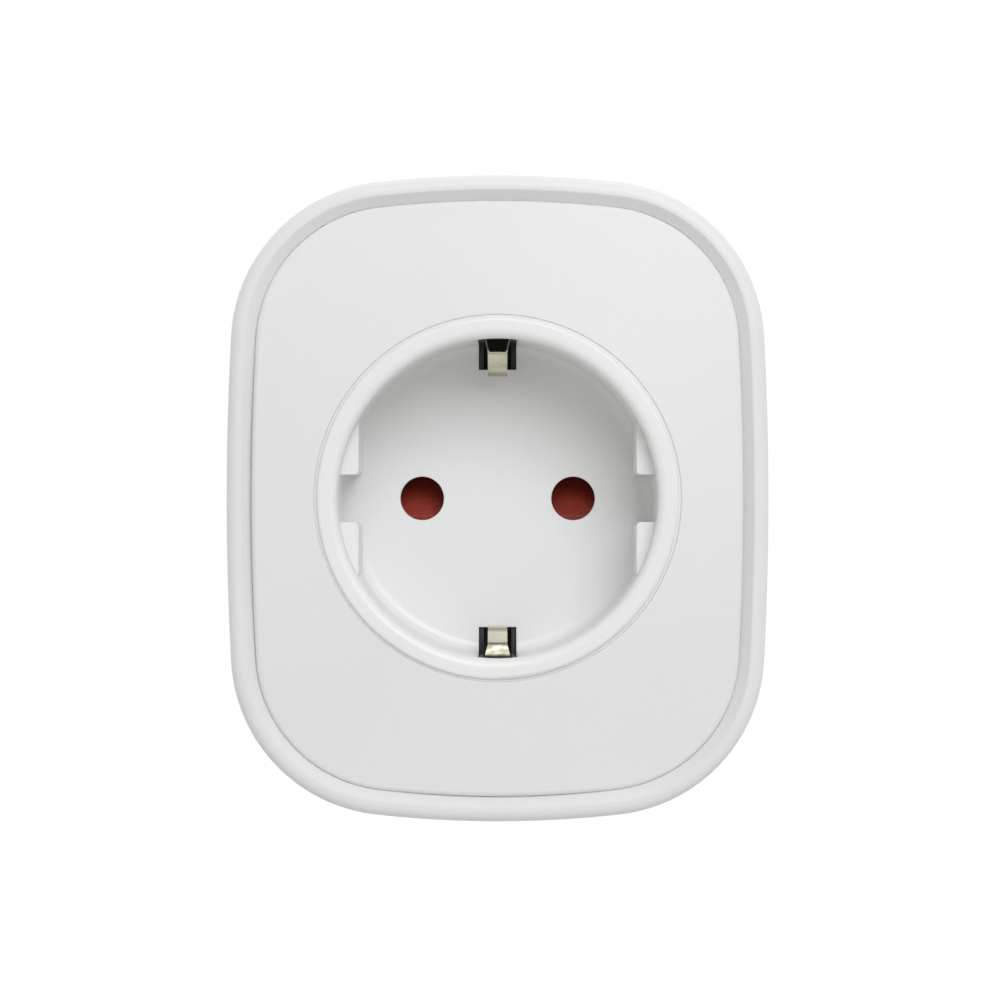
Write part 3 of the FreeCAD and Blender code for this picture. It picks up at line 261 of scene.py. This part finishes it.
WHITE = (0.80, 0.80, 0.795)
looks = {
    "housing_white": moulded("housing_white", WHITE, 0.42, 0.16, 3000, 0.0003, glow=0.05),
    "panel_white": moulded("panel_white", (0.81, 0.81, 0.805), 0.48, 0.2, 2800, glow=0.05),
    "insert_white": moulded("insert_white", (0.86, 0.86, 0.855), 0.34, 0.1, 2400, 0.0002, glow=0.1),
    "base_black": moulded("base_black", (0.022, 0.022, 0.024), 0.45, 0.25, uneven=0.15),
    "shutter_red": moulded("shutter_red", (0.30, 0.038, 0.024), 0.26, 0.12, uneven=0.1, glow=0.03),
    "spring_steel": plated("spring_steel", (0.62, 0.62, 0.62), 0.25, (900, 900, 900)),
    "nickel": plated("nickel", (0.78, 0.73, 0.60), 0.16, (2600, 160, 160), 0.08),
    "clip_metal": clip_metal("clip_metal"),
    "brass": plated("brass", (0.78, 0.58, 0.27), 0.28, (2200, 200, 200)),
    "screw_steel": plated("screw_steel", (0.12, 0.12, 0.13), 0.38, (1500, 1500, 1500)),
    "board_green": solder_mask("board_green", (0.016, 0.13, 0.06)),
    "relay_blue": moulded("relay_blue", (0.03, 0.09, 0.33), 0.33, 0.12),
    "film_yellow": moulded("film_yellow", (0.72, 0.50, 0.05), 0.34, 0.12),
    "can_sleeve": sleeve("can_sleeve", (0.02, 0.025, 0.08), (0.6, 0.6, 0.62)),
    "ferrite": moulded("ferrite", (0.05, 0.05, 0.055), 0.6, 0.5, 1500, uneven=0.2),
    "ceramic_blue": moulded("ceramic_blue", (0.04, 0.10, 0.42), 0.3, 0.15),
    "fuse_brown": moulded("fuse_brown", (0.22, 0.06, 0.03), 0.35, 0.15),
    "chip_black": moulded("chip_black", (0.02, 0.02, 0.021), 0.5, 0.4, 1900, uneven=0.2),
    "shield_tin": plated("shield_tin", (0.68, 0.68, 0.68), 0.3, (300, 300, 2400)),
    "lamp_clear": moulded("lamp_clear", (0.80, 0.81, 0.80), 0.2, 0.05, glow=0.3),
    "label_silver": printed_film("label_silver", (0.60, 0.60, 0.61), (0.16, 0.16, 0.17)),
    "carrier_grey": moulded("carrier_grey", (0.42, 0.42, 0.42), 0.5, 0.3),
}
DULL = 0.25
looks["shutter_red"].set(**{"Specular IOR Level": DULL})
for entry in frame["record"]["subparts"]:
    mesh = nodes[entry["node"]].data
    mesh.materials.clear()
    mesh.materials.append(looks[entry["material_slot"]].material)


# ---------------------------------------------------------------- shutter spring


def build_spring():
    """A coil with closed ends in the CAD spring's place."""
    wire, turns, closed_turns = 0.0004, 6.5, 1.0
    steps, sides = 312, 10
    low, high = (Vector(corner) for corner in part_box("shutter_spring"))
    middle = (low + high) / 2
    radius = (high.x - low.x - wire) / 2
    dead = closed_turns * wire * 1.03
    climb = high.z - low.z - wire - 2 * dead

    def rise(turn):
        if turn < closed_turns:
            return dead * turn / closed_turns
        if turn > turns - closed_turns:
            return dead + climb + dead * (turn - turns + closed_turns) / closed_turns
        return dead + climb * (turn - closed_turns) / (turns - 2 * closed_turns)

    points = []
    for step in range(steps + 1):
        turn = turns * step / steps
        angle = 2 * math.pi * turn
        out = Vector((math.cos(angle), math.sin(angle), 0))
        centre = Vector((middle.x, middle.y, low.z + wire / 2 + rise(turn))) + out * radius
        for side in range(sides):
            around = 2 * math.pi * side / sides
            points.append(centre + wire / 2 * (out * math.cos(around) + Vector((0, 0, math.sin(around)))))
    faces = [tuple(range(sides)), tuple(range(steps * sides, (steps + 1) * sides))]
    for step in range(steps):
        for side in range(sides):
            after = (side + 1) % sides
            here, there = step * sides, (step + 1) * sides
            faces.append((here + side, here + after, there + after, there + side))
    mesh = bpy.data.meshes.new("return_spring")
    mesh.from_pydata(points, [], faces)
    shell = bmesh.new()
    shell.from_mesh(mesh)
    bmesh.ops.recalc_face_normals(shell, faces=shell.faces)
    shell.to_mesh(mesh)
    shell.free()
    mesh.shade_smooth()
    mesh.materials.append(looks["spring_steel"].material)
    spring = bpy.data.objects.new("return_spring", mesh)
    bpy.context.scene.collection.objects.link(spring)
    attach(spring, "housing")
    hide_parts("shutter_spring")
    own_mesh(spring)


build_spring()


# ---------------------------------------------------------------- studio


def build_floor():
    """A round pale floor below the plug, which hangs above it as it would in a wall socket."""
    rings, spokes, reach, level = 12, 96, 0.24, -0.12
    points = [(0, 0, level)]
    faces = []
    for ring in range(1, rings + 1):
        for spoke in range(spokes):
            angle = 2 * math.pi * spoke / spokes
            radius = reach * ring / rings
            points.append((radius * math.cos(angle), radius * math.sin(angle), level))
    for spoke in range(spokes):
        after = (spoke + 1) % spokes
        faces.append((0, 1 + spoke, 1 + after))
        for ring in range(rings - 1):
            low = 1 + ring * spokes
            high = low + spokes
            faces.append((low + spoke, high + spoke, high + after, low + after))
    mesh = bpy.data.meshes.new("floor")
    mesh.from_pydata(points, [], faces)
    floor = bpy.data.objects.new("floor", mesh)
    bpy.context.scene.collection.objects.link(floor)
    paper = moulded("floor_paper", (0.66, 0.66, 0.65), 0.8, 0.1, 900)
    mesh.materials.append(paper.material)


def build_world():
    """Plain white surroundings: full white to the camera, softer as a light, stronger from behind."""
    world = bpy.data.worlds.new("studio")
    world.use_nodes = True
    bpy.context.scene.world = world
    tree = world.node_tree
    seen = tree.nodes["Background"]
    seen.inputs["Color"].default_value = (1, 1, 1, 1)
    seen.inputs["Strength"].default_value = BACKDROP
    lit = tree.nodes.new("ShaderNodeBackground")
    lit.inputs["Color"].default_value = (0.99, 0.995, 0.96, 1)
    direction = tree.nodes.new("ShaderNodeTexCoord").outputs["Generated"]
    parts = tree.nodes.new("ShaderNodeSeparateXYZ")
    tree.links.new(direction, parts.inputs["Vector"])
    slope = tree.nodes.new("ShaderNodeMapRange")
    upward = {"From Min": -1, "From Max": 1, "To Min": FILL * 0.97, "To Max": FILL * 1.03}
    for socket, value in upward.items():
        slope.inputs[socket].default_value = value
    tree.links.new(parts.outputs["Z"], slope.inputs["Value"])
    behind = tree.nodes.new("ShaderNodeMapRange")
    backward = {"From Min": -0.25, "From Max": 0.35, "To Min": 1.0, "To Max": 1.8}
    for socket, value in backward.items():
        behind.inputs[socket].default_value = value
    tree.links.new(parts.outputs["Y"], behind.inputs["Value"])
    product = tree.nodes.new("ShaderNodeMath")
    product.operation = "MULTIPLY"
    tree.links.new(slope.outputs["Result"], product.inputs[0])
    tree.links.new(behind.outputs["Result"], product.inputs[1])
    tree.links.new(product.outputs["Value"], lit.inputs["Strength"])
    path = tree.nodes.new("ShaderNodeLightPath")
    mix = tree.nodes.new("ShaderNodeMixShader")
    tree.links.new(path.outputs["Is Camera Ray"], mix.inputs["Fac"])
    tree.links.new(lit.outputs["Background"], mix.inputs[1])
    tree.links.new(seen.outputs["Background"], mix.inputs[2])
    tree.links.new(mix.outputs["Shader"], tree.nodes["World Output"].inputs["Surface"])


def area_light(name, position, target, size, power, tint=(1, 1, 1)):
    """A round soft lamp at a position, turned towards the target."""
    light = bpy.data.lights.new(name, "AREA")
    light.shape = "DISK"
    light.size = size
    light.energy = power
    light.color = tint
    lamp = bpy.data.objects.new(name, light)
    bpy.context.scene.collection.objects.link(lamp)
    lamp.location = position
    aim = Vector(target) - Vector(position)
    lamp.rotation_euler = aim.to_track_quat("-Z", "Y").to_euler()


def build_lights():
    """A large cool key above and to the right, and faint lights above and behind."""
    well = (0, -0.04, 0)
    area_light("key", (0.18, -0.80, 0.46), well, 0.60, 4.35, (0.955, 0.968, 1))
    area_light("top", (0.05, 0.15, 0.8), well, 0.5, 0.45)
    area_light("back", (-0.35, 0.75, 0.30), well, 0.5, 1.0)


def build_camera():
    """A long lens straight in front of the socket."""
    lens = bpy.data.cameras.new("camera")
    lens.lens = 144
    lens.sensor_width = 36
    lens.clip_start = 0.01
    camera = bpy.data.objects.new("camera", lens)
    bpy.context.scene.collection.objects.link(camera)
    camera.location = (0.0003, -0.5425, -0.0002)
    camera.rotation_euler = (math.radians(90), 0, 0)
    bpy.context.scene.camera = camera


FILL = 0.515
BACKDROP = 1.02
build_floor()
build_world()
build_lights()
build_camera()
bpy.context.scene.view_settings.view_transform = "Standard"
